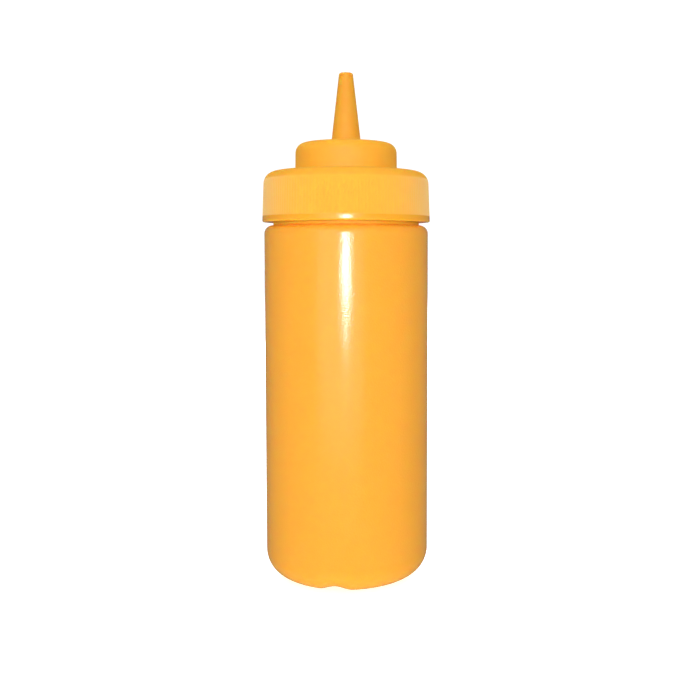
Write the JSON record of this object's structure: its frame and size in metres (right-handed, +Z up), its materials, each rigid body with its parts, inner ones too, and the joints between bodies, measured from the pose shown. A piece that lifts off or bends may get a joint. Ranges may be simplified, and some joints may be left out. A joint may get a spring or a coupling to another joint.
{
  "type": "mustard squeeze bottle",
  "caption": "Round upright squeeze bottle with a ribbed screw cap and a cone nozzle, for dispensing mustard.",
  "frame": {"origin": "middle of the circle that the bottle stands on", "axes": "+Z up along the bottle, front facing -Y"},
  "size_m": [0.0686, 0.0686, 0.2062],
  "materials": {
    "bottle_plastic": "satin, finely grained",
    "cap_plastic": "satin, ribbed skirt"
  },
  "bodies": {
    "root": {"bottle": "bottle_plastic", "cap": "cap_plastic"}
  },
  "joints": []
}
